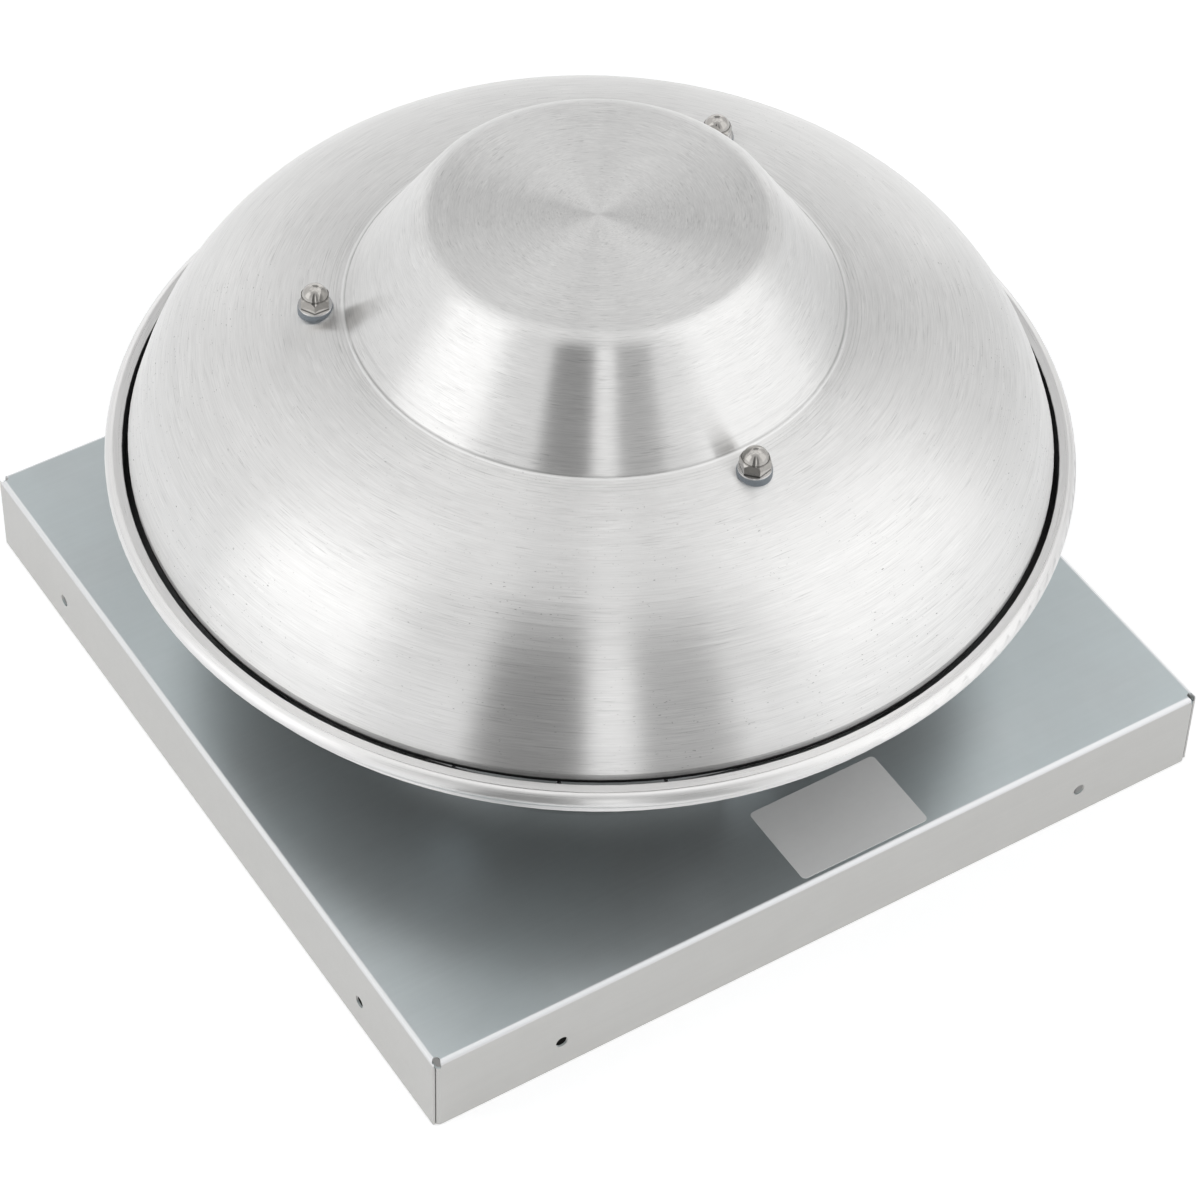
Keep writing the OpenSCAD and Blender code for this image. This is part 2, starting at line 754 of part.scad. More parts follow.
module strap_screw_place() {
    at_polar(stud_turn(0), cap_can_at - cap_can_r - strap_foot / 2, 0) children();
}

module capacitor_strap() {
    color("silver") difference() {
        at_polar(stud_turn(0), cap_can_at, plate_top) {
            ring(cap_can_r, cap_can_r + strap_t, strap_h);
            difference() {
                translate([-cap_can_r - strap_foot, -strap_w / 2, 0])
                    cube([strap_foot + 2, strap_w, strap_t]);
                translate([0, 0, -over]) cylinder(r = cap_can_r + strap_t / 2, h = strap_t + 2 * over);
            }
        }
        strap_screw_place() translate([0, 0, plate_top])
            cylinder(r = motor_bolt_r + fit, h = cut, center = true);
    }
}

module strap_screws() {
    color("silver") strap_screw_place() translate([0, 0, plate_z - screw_head_h]) {
        cylinder(r = motor_bolt_r, h = screw_head_h + plate_t + strap_t);
        cylinder(r = screw_head_r, h = screw_head_h);
        translate([0, 0, screw_head_h + plate_t + strap_t]) cylinder(r = strap_nut_r, h = strap_nut_h);
    }
}

// Guard

module guard_panel(i) {
    turn = stud_angle + (i + 0.5) * 360 / panel_count;
    pitch = (guard_out_r - guard_in_r) / (ring_count - 1);
    radial_step = 2 * (panel_half - radial_inset) / (radial_count - 1);
    color("gray") rotate([0, 0, turn - panel_half]) {
        for (k = [0:ring_count - 1]) rotate_extrude(angle = 2 * panel_half)
            translate([guard_in_r + k * pitch, guard_z]) circle(r = wire_r);
        for (k = [0:radial_count - 1]) rotate([0, 0, radial_inset + k * radial_step])
            translate([guard_in_r - wire_r + weld_sink, 0, radial_z]) rotate([0, 90, 0])
            cylinder(r = wire_r, h = guard_out_r - guard_in_r + 2 * (wire_r - weld_sink));
    }
}

// Rotor

module shaft() {
    color("silver") translate([0, 0, shaft_end_z]) cylinder(r = shaft_r, h = shaft_top_z - shaft_end_z);
}

module rotor_core() {
    color("gray") translate([0, 0, rotor_z]) ring(shaft_r, rotor_r, rotor_h);
}

module propeller_hub() {
    color("silver") difference() {
        union() {
            translate([0, 0, hub_low_z]) cylinder(r = hub_r, h = hub_h);
            translate([0, 0, prop_z - spider_t / 2]) cylinder(r = spider_r, h = spider_t);
            for (k = [0:blade_count - 1]) rotate([0, 0, k * 360 / blade_count]) translate([0, 0, prop_z])
                rotate([-root_pitch, 0, 0])
                    translate([spider_arm_start, -spider_arm_w / 2, -blade_t / 2 - spider_t])
                cube([spider_arm_end - spider_arm_start, spider_arm_w, spider_t]);
        }
        translate([0, 0, hub_low_z - over]) cylinder(r = shaft_r + fit, h = hub_h + 2 * over);
        translate([0, 0, set_screw_z]) rotate([0, 90, 0]) cylinder(r = set_screw_r + fit, h = hub_r + over);
        blade_rivet_holes();
    }
}

module set_screw() {
    color("dimgray") translate([shaft_r, 0, set_screw_z]) rotate([0, 90, 0])
        cylinder(r = set_screw_r, h = hub_r - shaft_r);
}

// Rivet places on the flat root of a blade, in the frame of that root.
module blade_rivet_places() {
    for (x = blade_rivet_x) for (y = [-blade_rivet_y, blade_rivet_y]) translate([x, y, 0]) children();
}

module blade_frame(k) {
    rotate([0, 0, k * 360 / blade_count]) translate([0, 0, prop_z]) rotate([-root_pitch, 0, 0]) children();
}

module blade_rivet_holes() {
    for (k = [0:blade_count - 1]) blade_frame(k) blade_rivet_places()
        cylinder(r = blade_rivet_r + fit, h = cut, center = true);
}

module blade_rivets() {
    color("silver") for (k = [0:blade_count - 1]) blade_frame(k) blade_rivet_places()
        translate([0, 0, -blade_t / 2 - spider_t]) rivet(spider_t + blade_t, blade_rivet_r, blade_rivet_head_r);
}

// Blade: sections of one sheet at rising radii. Inside flat_r they lie flat on the spider's arm.
// Farther out they take camber, lose pitch and bend round to the radius of the throat.
flat_stations = 3;
open_stations = 8;
corner_stations = 5;
chord_points = 9;
side_count = 2 * chord_points;
corner_start = tip_r - tip_corner;
chord_power = 0.8;
pitch_power = 0.9;
skew_power = 1.5;
corner_share = 1.9;
stations = concat([for (i = [0:flat_stations - 1]) root_r + (flat_r - root_r) * i / flat_stations],
    [for (i = [0:open_stations - 1]) flat_r + (corner_start - flat_r) * i / open_stations],
    [for (i = [0:corner_stations]) corner_start + tip_corner * sin(90 * i / corner_stations)]);
function outward(r) = max(0, (r - flat_r) / (tip_r - flat_r));
function corner_cut(r) = tip_corner * (1 - sqrt(max(0, 1 - pow(max(0, r - corner_start) / tip_corner, 2))));
function chord(r) = root_chord + (tip_chord - root_chord) * pow((r - root_r) / (tip_r - root_r), chord_power)
    - corner_share * corner_cut(r);
function pitch_at(r) = root_pitch + (tip_pitch - root_pitch) * pow(outward(r), pitch_power);
function camber_at(r) = blade_camber * min(1, 3 * outward(r));
function skew_at(r) = blade_skew * pow(outward(r), skew_power);
function flat_point(r, s, face) =
    let (c = chord(r), w = face * blade_t / 2 - camber_at(r) * c * (1 - 4 * s * s))
    [s * c * cos(pitch_at(r)) + w * sin(pitch_at(r)), w * cos(pitch_at(r)) - s * c * sin(pitch_at(r))];
function wrapped(r, p) = let (turn = p[0] / r * 180 / PI, share = min(1, 2 * outward(r)))
    let (x = (1 - share) * r + share * r * cos(turn), y = (1 - share) * p[0] + share * r * sin(turn))
    [x * cos(skew_at(r)) - y * sin(skew_at(r)), x * sin(skew_at(r)) + y * cos(skew_at(r)), p[1]];
function section(r) = concat(
    [for (j = [0:chord_points - 1]) wrapped(r, flat_point(r, j / (chord_points - 1) - 0.5, 1))],
    [for (j = [chord_points - 1:-1:0]) wrapped(r, flat_point(r, j / (chord_points - 1) - 0.5, -1))]);
blade_points = [for (r = stations) each section(r)];
last_loop = (len(stations) - 1) * side_count;
blade_faces = concat(
    [for (i = [0:len(stations) - 2]) for (k = [0:side_count - 1])
        let (a = i * side_count, n = (k + 1) % side_count)
        each [[a + k, a + side_count + k, a + side_count + n], [a + k, a + side_count + n, a + n]]],
    [for (j = [0:chord_points - 2]) let (b = side_count - 1 - j) each [[j, j + 1, b - 1], [j, b - 1, b]]],
    [for (j = [0:chord_points - 2]) let (a = last_loop + j, b = last_loop + side_count - 1 - j)
        each [[a, b - 1, a + 1], [a, b, b - 1]]]);

module blade(k) {
    color("gainsboro") difference() {
        rotate([0, 0, k * 360 / blade_count]) translate([0, 0, prop_z]) polyhedron(blade_points, blade_faces);
        blade_frame(k) blade_rivet_places() cylinder(r = blade_rivet_r + fit, h = cut, center = true);
    }
}

curb_cap();
throat();
windband();
hood();
for (i = [0:bracket_count - 1]) {
    leg(i);
    band_arm(i);
}
motor_plate();
stud_nuts();
studs();
spacers();
seal_washers();
hood_washers();
acorn_nuts();
throat_rivets();
band_rivets();
for (i = [0:panel_count - 1]) guard_panel(i);
motor_case();
bell_lower();
bell_upper();
stator_core();
stator_coils();
bearings();
motor_bolts();
junction_box();
box_cover();
box_screws();
conduit_nipple();
capacitor();
capacitor_strap();
strap_screws();
shaft();
rotor_core();
propeller_hub();
set_screw();
for (k = [0:blade_count - 1]) blade(k);
blade_rivets();
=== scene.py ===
import bpy
import json
import math
from mathutils import Matrix, Vector


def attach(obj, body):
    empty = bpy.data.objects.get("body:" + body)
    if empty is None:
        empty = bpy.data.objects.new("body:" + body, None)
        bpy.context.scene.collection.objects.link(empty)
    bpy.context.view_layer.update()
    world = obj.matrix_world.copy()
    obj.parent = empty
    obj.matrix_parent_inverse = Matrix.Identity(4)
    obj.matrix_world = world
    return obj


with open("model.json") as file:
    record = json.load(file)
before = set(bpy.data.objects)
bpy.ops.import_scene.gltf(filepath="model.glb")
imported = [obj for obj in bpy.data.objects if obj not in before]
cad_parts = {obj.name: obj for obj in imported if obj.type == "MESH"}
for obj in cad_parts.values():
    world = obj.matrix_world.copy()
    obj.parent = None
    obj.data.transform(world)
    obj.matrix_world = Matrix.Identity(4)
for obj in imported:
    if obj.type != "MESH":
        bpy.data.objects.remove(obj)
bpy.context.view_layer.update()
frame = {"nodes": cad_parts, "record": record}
nodes = frame["nodes"]

# Sizes of the fan in metres, with heights over the cap's lower edge
CAP_SIDE = 0.4826
CAP_TOP = 0.0518
LIP_R, LIP_Z = 0.2497, 0.1742
HAT_FOOT_R = 0.130
# The nuts' lowest height
NUT_FOOT = min(v.co.z for v in nodes["acorn_nuts"].data.vertices)

# Camera, fitted to the corners, holes and circles of the photograph
CAM_AZ, CAM_EL, CAM_ROLL = map(math.radians, (-33.578, 47.148, 1.965))
CAM_TARGET = Vector((-0.0471, -0.0996, 0.2)) * CAP_SIDE
CAM_DIST = 4.8903 * CAP_SIDE
FOCAL_PIXELS, PHOTO_PIXELS = 4380.09, 1200
SENSOR = 36


def aim(azimuth, elevation):
    """Unit vector from the object towards a place at this azimuth and elevation, in radians."""
    flat = math.cos(elevation)
    return Vector((math.sin(azimuth) * flat, -math.cos(azimuth) * flat, math.sin(elevation)))


def make_camera():
    """The lens of the photograph, rolled a little about its own axis."""
    back = aim(CAM_AZ, CAM_EL)
    right = Vector((0, 0, 1)).cross(back).normalized()
    up = back.cross(right)
    turned_right = math.cos(CAM_ROLL) * right + math.sin(CAM_ROLL) * up
    turned_up = -math.sin(CAM_ROLL) * right + math.cos(CAM_ROLL) * up
    data = bpy.data.cameras.new("camera")
    data.sensor_width = SENSOR
    data.sensor_fit = "HORIZONTAL"
    data.lens = FOCAL_PIXELS * SENSOR / PHOTO_PIXELS
    data.clip_start, data.clip_end = 0.05, 50
    cam = bpy.data.objects.new("camera", data)
    bpy.context.scene.collection.objects.link(cam)
    turn = Matrix((turned_right, turned_up, back)).transposed()
    cam.matrix_world = Matrix.Translation(CAM_TARGET + back * CAM_DIST) @ turn.to_4x4()
    bpy.context.scene.camera = cam


make_camera()
bpy.context.scene.view_settings.view_transform = "Standard"


# Small helpers for shader nodes

def add(nt, kind, **props):
    n = nt.nodes.new(kind)
    for k, v in props.items():
        setattr(n, k, v)
    return n


def put(nt, socket, value):
    """Link a socket to another, or set it from a number, a colour or a vector."""
    if isinstance(value, bpy.types.NodeSocket):
        nt.links.new(value, socket)
    elif hasattr(socket.default_value, "__len__") and not hasattr(value, "__len__"):
        socket.default_value = [value] * len(socket.default_value)
    elif hasattr(socket.default_value, "__len__") and len(socket.default_value) == 4 and len(value) == 3:
        socket.default_value = (*value, 1)
    else:
        socket.default_value = value


def calc(nt, op, *values, clamp=False):
    n = add(nt, "ShaderNodeMath", operation=op, use_clamp=clamp)
    for i, v in enumerate(values):
        put(nt, n.inputs[i], v)
    return n.outputs[0]


def plus(nt, a, b, clamp=False):
    return calc(nt, "ADD", a, b, clamp=clamp)


def minus(nt, a, b):
    return calc(nt, "SUBTRACT", a, b)


def times(nt, a, b):
    return calc(nt, "MULTIPLY", a, b)


def over(nt, a, b):
    return calc(nt, "DIVIDE", a, b)


def larger(nt, a, b):
    return calc(nt, "MAXIMUM", a, b)


def absolute(nt, a):
    return calc(nt, "ABSOLUTE", a)


def parts_of(nt, vector):
    n = add(nt, "ShaderNodeSeparateXYZ")
    put(nt, n.inputs[0], vector)
    return n.outputs


def from_axis(nt, x, y):
    """Distance from the fan's axis, kept just above zero."""
    return larger(nt, calc(nt, "SQRT", plus(nt, times(nt, x, x), times(nt, y, y))), 0.001)


def vec(nt, x, y, z):
    n = add(nt, "ShaderNodeCombineXYZ")
    for i, v in enumerate((x, y, z)):
        put(nt, n.inputs[i], v)
    return n.outputs[0]


def scaled(nt, vector, factor):
    n = add(nt, "ShaderNodeVectorMath", operation="MULTIPLY")
    put(nt, n.inputs[0], vector)
    put(nt, n.inputs[1], factor if hasattr(factor, "__len__") else (factor,) * 3)
    return n.outputs[0]


def noise(nt, vector, scale=1.0, detail=2.0, rough=0.5):
    n = add(nt, "ShaderNodeTexNoise")
    put(nt, n.inputs["Vector"], vector)
    n.inputs["Scale"].default_value = scale
    n.inputs["Detail"].default_value = detail
    n.inputs["Roughness"].default_value = rough
    return n.outputs["Fac"]


def span(nt, value, lo, hi, out_lo=0.0, out_hi=1.0, smooth=False):
    n = add(nt, "ShaderNodeMapRange", interpolation_type="SMOOTHSTEP" if smooth else "LINEAR")
    for i, v in enumerate((value, lo, hi, out_lo, out_hi)):
        put(nt, n.inputs[i], v)
    return n.outputs[0]


def blend_colour(nt, factor, a, b):
    n = add(nt, "ShaderNodeMix", data_type="RGBA")
    put(nt, n.inputs["Factor"], factor)
    put(nt, n.inputs[6], a)
    put(nt, n.inputs[7], b)
    return n.outputs[2]


def blend_shader(nt, factor, a, b):
    n = add(nt, "ShaderNodeMixShader")
    for i, v in enumerate((factor, a, b)):
        put(nt, n.inputs[i], v)
    return n.outputs[0]


def bump(nt, height, strength, distance, normal=None):
    n = add(nt, "ShaderNodeBump")
    n.inputs["Strength"].default_value = strength
    n.inputs["Distance"].default_value = distance
    put(nt, n.inputs["Height"], height)
    if normal:
        put(nt, n.inputs["Normal"], normal)
    return n.outputs[0]


def shade_of(colour, factor):
    return tuple(min(1, c * factor) for c in colour)


def blank(name):
    """A material with nothing but its output, and that output's surface."""
    m = bpy.data.materials.new(name)
    m.use_nodes = True
    nt = m.node_tree
    nt.nodes.clear()
    return m, nt, add(nt, "ShaderNodeOutputMaterial").inputs[0]


def material(name, metallic=1.0, aniso=0.0, spin=0.0):
    m, nt, surface = blank(name)
    bsdf = add(nt, "ShaderNodeBsdfPrincipled")
    nt.links.new(bsdf.outputs[0], surface)
    bsdf.inputs["Metallic"].default_value = metallic
    bsdf.inputs["Anisotropic"].default_value = aniso
    bsdf.inputs["Anisotropic Rotation"].default_value = spin
    if aniso:
        tangent = add(nt, "ShaderNodeTangent", direction_type="RADIAL", axis="Z")
        nt.links.new(tangent.outputs[0], bsdf.inputs["Tangent"])
    where = add(nt, "ShaderNodeTexCoord").outputs["Object"]
    return m, nt, bsdf, where


# Spun sheet: marks that run round the axis, reliefs, painted shade and highlight lines at the hat's foot,
# and painted shade on faces in the dark under the hood

# The colour of painted shade on faces in the dark under the hood and on the cap
PAINTED_SHADE_BLACK = (0.006, 0.006, 0.007)
GRAIN_DEPTH = 0.00005
# The windband's bead: how far out from the lip its top falls, and by how much
BEAD_FALL_RUN, BEAD_FALL = 0.0078, 0.0005
# The hat's foot: how much longer the wall is than its plan, and the size and turn of the bend
HAT_RUN = 1 / math.cos(math.radians(57))
FOOT_BEND = 0.0018
FOOT_TURN = math.tan(math.radians(24))
# Rings left by the spinning tool: radius, half width, depth
FOOT_RINGS = ((0.1302, 0.0008, 0.00016), (0.1342, 0.0005, 0.00003), (0.1358, 0.0006, 0.00004),
              (0.1379, 0.0006, 0.00003), (0.1412, 0.0007, 0.00002))
# Lines of painted shade and painted highlight at the hat's foot crease and tool rings: radius, half width,
# and how bright, or dark below zero
FOOT_PAINTED_LINES = ((0.1299, 0.0008, -0.42), (0.1313, 0.0009, 0.45), (0.1262, 0.0007, -0.10),
              (0.1342, 0.0006, -0.10), (0.1358, 0.0006, -0.07), (0.1380, 0.0006, -0.09))
# Colours of the painted shade and painted highlight lines
PAINTED_LINE_SHADE, PAINTED_LINE_HIGHLIGHT = (0.05, 0.05, 0.05), (1, 1, 1)
# Pits: how finely they break up along the circle, and their pitch along the profile
PIT_LANES, PIT_PITCH = 95, 0.0009


def turned(nt, where, lanes):
    """Coordinates that run round the axis: lanes is how finely the marks break up along the circle."""
    x, y, z = parts_of(nt, where)
    r = from_axis(nt, x, y)
    ring = vec(nt, times(nt, over(nt, x, r), lanes), times(nt, over(nt, y, r), lanes), 0)
    return r, z, minus(nt, r, z), ring


def along(nt, ring, run, pitch):
    """The ring coordinates with the profile's run as third axis, one unit for each pitch in metres."""
    n = add(nt, "ShaderNodeVectorMath", operation="ADD")
    put(nt, n.inputs[0], ring)
    put(nt, n.inputs[1], vec(nt, 0, 0, over(nt, run, pitch)))
    return n.outputs[0]


def facing(nt, where):
    """How far a face looks away from the axis, and how far it looks up."""
    across, deep, up = parts_of(nt, add(nt, "ShaderNodeTexCoord").outputs["Normal"])
    x, y, _ = parts_of(nt, where)
    out = plus(nt, times(nt, x, across), times(nt, y, deep))
    return over(nt, out, from_axis(nt, x, y)), up


def hood_relief(nt, r):
    """The soft bend at the hat's foot and the tool rings beside it."""
    inward = times(nt, minus(nt, HAT_FOOT_R, r), HAT_RUN)
    left = larger(nt, minus(nt, FOOT_BEND, larger(nt, minus(nt, r, HAT_FOOT_R), inward)), 0)
    height = over(nt, times(nt, left, left), 2 * FOOT_BEND / FOOT_TURN)
    for radius, width, depth in FOOT_RINGS:
        away = absolute(nt, minus(nt, r, radius))
        height = plus(nt, height, span(nt, away, 0, width, -depth, 0, smooth=True))
    return height


def band_relief(nt, r):
    """The top of the bead falls a little from the lip outward."""
    return span(nt, r, LIP_R, LIP_R + BEAD_FALL_RUN, BEAD_FALL, 0)


def hood_painted_shade(nt, where, r, z):
    """Painted shade on the hood's underside, and on the part of its rim that stands inside the windband."""
    _, up = facing(nt, where)
    under = span(nt, up, -0.1, -0.3)
    rim = times(nt, span(nt, z, LIP_Z + 0.0002, LIP_Z - 0.0006), span(nt, r, 0.24, 0.242))
    return larger(nt, under, rim), span(nt, r, 0.17, 0.215, 0.5, 0.97)


def band_painted_shade(nt, where, r, z):
    """Painted shade on the windband's inside, darkest where it stands round the hood's rim."""
    out, _ = facing(nt, where)
    inside = times(nt, span(nt, out, -0.2, -0.4), span(nt, r, LIP_R + 0.0004, LIP_R + 0.0002))
    inside = times(nt, inside, span(nt, z, LIP_Z - 0.0002, LIP_Z - 0.0005))
    return inside, span(nt, z, 0.140, 0.156, 0.5, 0.97)


def throat_painted_shade(nt, where, r, z):
    """Painted shade on the throat's outside, dark at the top, where it stands under the hood, and lighter at
    its foot.
    """
    out, _ = facing(nt, where)
    return span(nt, out, 0.2, 0.4), span(nt, z, 0.058, 0.092, 0.2, 0.95, smooth=True)


def painted_light_lines(nt, colour, r, cloud, lines):
    """Lines of painted shade and painted highlight round the axis, each broken up a little along its length.
    """
    for radius, width, amount in lines:
        away = absolute(nt, minus(nt, r, radius))
        line = span(nt, away, 0, width, abs(amount), 0, smooth=True)
        mask = times(nt, line, span(nt, cloud, 0.35, 0.55, 0.55, 1.0))
        colour = blend_colour(nt, mask, colour, PAINTED_LINE_SHADE if amount < 0 else PAINTED_LINE_HIGHLIGHT)
    return colour


def pit_mask(nt, z, run, ring, lanes, cloud):
    """Small pits, most of them low on the hood and in patches."""
    spots = noise(nt, along(nt, scaled(nt, ring, PIT_LANES / lanes), run, PIT_PITCH), detail=1)
    mask = span(nt, spots, 0.725, 0.765, smooth=True)
    low_down = span(nt, z, 0.19, 0.29, 1.0, 0.3)
    return times(nt, mask, times(nt, low_down, span(nt, cloud, 0.42, 0.62, 0.2, 1.0)))


def spun_metal(name, colour, rough, aniso, fine=0.0007, wide=0.005, marks=1.0, lanes=3.0,
               pits=False, lines=(), relief=None, dark=None):
    """Spun aluminium: fine and wide are the pitches of its lines and bands, marks their strength.

    lanes is how finely they break up along the circle. lines gives painted shade and highlight lines, relief
    a height, and dark a mask of painted shade and its depth.
    """
    m, nt, bsdf, where = material(name, aniso=aniso, spin=0.25)
    r, z, run, ring = turned(nt, where, lanes)
    hairs = noise(nt, along(nt, ring, run, fine), detail=3, rough=0.7)
    strokes = noise(nt, along(nt, scaled(nt, ring, 4.0), run, fine * 1.6), detail=2, rough=0.6)
    broad = noise(nt, along(nt, ring, run, wide), detail=2)
    cloud = noise(nt, where, 14, detail=3)
    patch = noise(nt, along(nt, scaled(nt, ring, 2.0), run, 0.03), detail=2)
    scores = noise(nt, along(nt, scaled(nt, ring, 3.0), run, fine * 1.3), detail=1)

    shade = plus(nt, span(nt, hairs, 0.25, 0.75, -0.05 * marks, 0.05 * marks),
                 plus(nt, span(nt, broad, 0.3, 0.7, -0.015 * marks, 0.015 * marks),
                      span(nt, cloud, 0.3, 0.7, -0.012, 0.012)))
    patchy = plus(nt, span(nt, strokes, 0.28, 0.72, -0.06 * marks, 0.06 * marks),
                  span(nt, scores, 0.66, 0.72, 0, -0.16 * marks))
    shade = plus(nt, shade, times(nt, span(nt, patch, 0.35, 0.65, 0.35, 1.0), patchy))
    colour_out = blend_colour(nt, plus(nt, times(nt, shade, 2.5), 0.5, clamp=True),
                              shade_of(colour, 0.8), shade_of(colour, 1.2))
    # Painted shade and painted highlight along the foot's crease and tool rings
    colour_out = painted_light_lines(nt, colour_out, r, cloud, lines)
    rough_out = plus(nt, rough, span(nt, hairs, 0.3, 0.7, -0.04, 0.05))
    if pits:
        mask = pit_mask(nt, z, run, ring, lanes, cloud)
        colour_out = blend_colour(nt, mask, colour_out, shade_of(colour, 0.2))
        rough_out = plus(nt, rough_out, times(nt, mask, 0.25))
    # Painted shade on faces that stand in the dark under the hood
    if dark:
        mask = times(nt, *dark(nt, where, r, z))
        colour_out = blend_colour(nt, mask, colour_out, PAINTED_SHADE_BLACK)
        rough_out = plus(nt, rough_out, times(nt, mask, 0.3))

    height = plus(nt, times(nt, hairs, 0.5), plus(nt, times(nt, broad, 0.4), times(nt, strokes, 0.5)))
    shape = bump(nt, relief(nt, r), 1.0, 1.0) if relief else None
    put(nt, bsdf.inputs["Base Color"], colour_out)
    put(nt, bsdf.inputs["Roughness"], rough_out)
    put(nt, bsdf.inputs["Normal"], bump(nt, height, 0.3, GRAIN_DEPTH, shape))
    return m


# The other metals, paint and rubber

# Marks of rolling, as a scale for each axis: long along x and fine across it
ROLLED, ROLLED_CAP = (3, 500, 500), (3, 420, 420)
CAP_METALLIC = 0.75
# The bend of the cap: where its painted highlight starts and is full, inward from the edge
BEND_HIGHLIGHT_START, BEND_HIGHLIGHT_FULL = 0.0030, 0.0018
# The cap's top is painted with shade inside this radius, under the hood, fading over this run
SHADE_UNDER_HOOD_R, SHADE_UNDER_HOOD_FADE = 0.167, 0.008
# Rings on a nut: painted shade in the joint under it and a painted dark reflection along its chamfer: height
# over its foot, half width, depth
NUT_SHADE_RINGS = ((0.0, 0.0008, 0.9), (0.0066, 0.0005, 0.5))


def sheet_metal(name, colour, rough, spangle=0.03, grain_scale=60.0, bump_strength=0.12, metallic=1.0):
    """Plain sheet, wire or turned metal with a grain; spangle is how much the grain varies in shade."""
    m, nt, bsdf, where = material(name, metallic=metallic)
    soft = noise(nt, where, 9, detail=3)
    grain = noise(nt, where, grain_scale, detail=3, rough=0.6)
    rolled = noise(nt, scaled(nt, where, ROLLED), detail=2)
    value = plus(nt, span(nt, grain, 0.3, 0.7, 0.5 - spangle * 5, 0.5 + spangle * 5),
                 span(nt, rolled, 0.3, 0.7, -spangle * 2, spangle * 2), clamp=True)
    height = plus(nt, grain, times(nt, rolled, 0.5))
    colour_out = blend_colour(nt, value, shade_of(colour, 0.92), shade_of(colour, 1.08))
    put(nt, bsdf.inputs["Base Color"], colour_out)
    put(nt, bsdf.inputs["Roughness"], plus(nt, rough, span(nt, soft, 0.3, 0.7, -0.03, 0.04)))
    put(nt, bsdf.inputs["Normal"], bump(nt, height, bump_strength, GRAIN_DEPTH))
    return m


def polished_steel(name, colour, rough, foot, rings):
    """Polished steel with rings of painted shade and painted dark reflection: height over the foot, half
    width and depth of each.
    """
    m, nt, bsdf, where = material(name)
    z = parts_of(nt, where)[2]
    colour_out = colour
    for height, width, depth in rings:
        away = absolute(nt, minus(nt, z, foot + height))
        mask = span(nt, away, width * 0.4, width, depth, 0, smooth=True)
        colour_out = blend_colour(nt, mask, colour_out, shade_of(colour, 0.12))
    put(nt, bsdf.inputs["Base Color"], colour_out)
    put(nt, bsdf.inputs["Roughness"], span(nt, noise(nt, where, 300), 0.3, 0.7, rough - 0.02, rough + 0.03))
    put(nt, bsdf.inputs["Normal"], bump(nt, noise(nt, where, 400), 0.03, GRAIN_DEPTH))
    return m


def coated_sheet(name, top, side, worn, rough):
    """Galvanised sheet: painted light makes it cool on its face and warmer on the flanges, with a painted
    highlight along the bends and painted shade under the hood.
    """
    m, nt, bsdf, where = material(name, metallic=CAP_METALLIC)
    x, y, z = parts_of(nt, where)
    _, up = facing(nt, where)
    soft = noise(nt, where, 9, detail=3)
    grain = noise(nt, where, 60, detail=3, rough=0.6)
    rolled = noise(nt, scaled(nt, where, ROLLED_CAP), detail=2)
    value = plus(nt, span(nt, grain, 0.3, 0.7, 0.38, 0.62), span(nt, rolled, 0.3, 0.7, -0.1, 0.1),
                 clamp=True)
    # Painted light: the face takes a cool lit tint and the flanges a warmer, darker one, chosen by which way
    # each face looks
    face = blend_colour(nt, value, shade_of(top, 0.93), shade_of(top, 1.07))
    cooler = (top[0] * 0.94, top[1], top[2] * 1.01)
    face = blend_colour(nt, span(nt, soft, 0.35, 0.65, 0, 0.5), face, cooler)
    flange = blend_colour(nt, value, shade_of(side, 0.95), shade_of(side, 1.05))
    colour_out = blend_colour(nt, span(nt, up, 0.75, 0.35), face, flange)

    # Painted highlight along the cap's bends
    edge = larger(nt, absolute(nt, x), absolute(nt, y))
    bend = times(nt, span(nt, edge, CAP_SIDE / 2 - BEND_HIGHLIGHT_START, CAP_SIDE / 2 - BEND_HIGHLIGHT_FULL, smooth=True),
                 span(nt, z, CAP_TOP - BEND_HIGHLIGHT_START, CAP_TOP - BEND_HIGHLIGHT_FULL, smooth=True))
    bend = times(nt, bend, span(nt, soft, 0.3, 0.7, 0.75, 1.0))
    colour_out = blend_colour(nt, bend, colour_out, worn)
    # Painted shade on the cap's top inside the windband, under the hood
    shade_under_hood = times(nt, span(nt, from_axis(nt, x, y), SHADE_UNDER_HOOD_R, SHADE_UNDER_HOOD_R - SHADE_UNDER_HOOD_FADE),
                   span(nt, up, 0.5, 0.8, 0, 0.95))
    height = plus(nt, grain, times(nt, rolled, 0.5))
    put(nt, bsdf.inputs["Base Color"], blend_colour(nt, shade_under_hood, colour_out, PAINTED_SHADE_BLACK))
    put(nt, bsdf.inputs["Roughness"], plus(nt, rough, span(nt, soft, 0.3, 0.7, -0.02, 0.03)))
    put(nt, bsdf.inputs["Normal"], bump(nt, height, 0.12, GRAIN_DEPTH))
    return m


def paint(name, colour, rough):
    """Paint or rubber, rubbed lighter in patches."""
    m, nt, bsdf, where = material(name, metallic=0.0)
    peel = noise(nt, where, 900, detail=2)
    worn = noise(nt, where, 35, detail=4, rough=0.65)
    rubbed = tuple(min(1, c * 1.35 + 0.01) for c in colour)
    put(nt, bsdf.inputs["Base Color"], blend_colour(nt, span(nt, worn, 0.35, 0.75), colour, rubbed))
    put(nt, bsdf.inputs["Roughness"], span(nt, worn, 0.3, 0.7, rough - 0.05, rough + 0.08))
    put(nt, bsdf.inputs["Normal"], bump(nt, peel, 0.15, 0.0001))
    return m


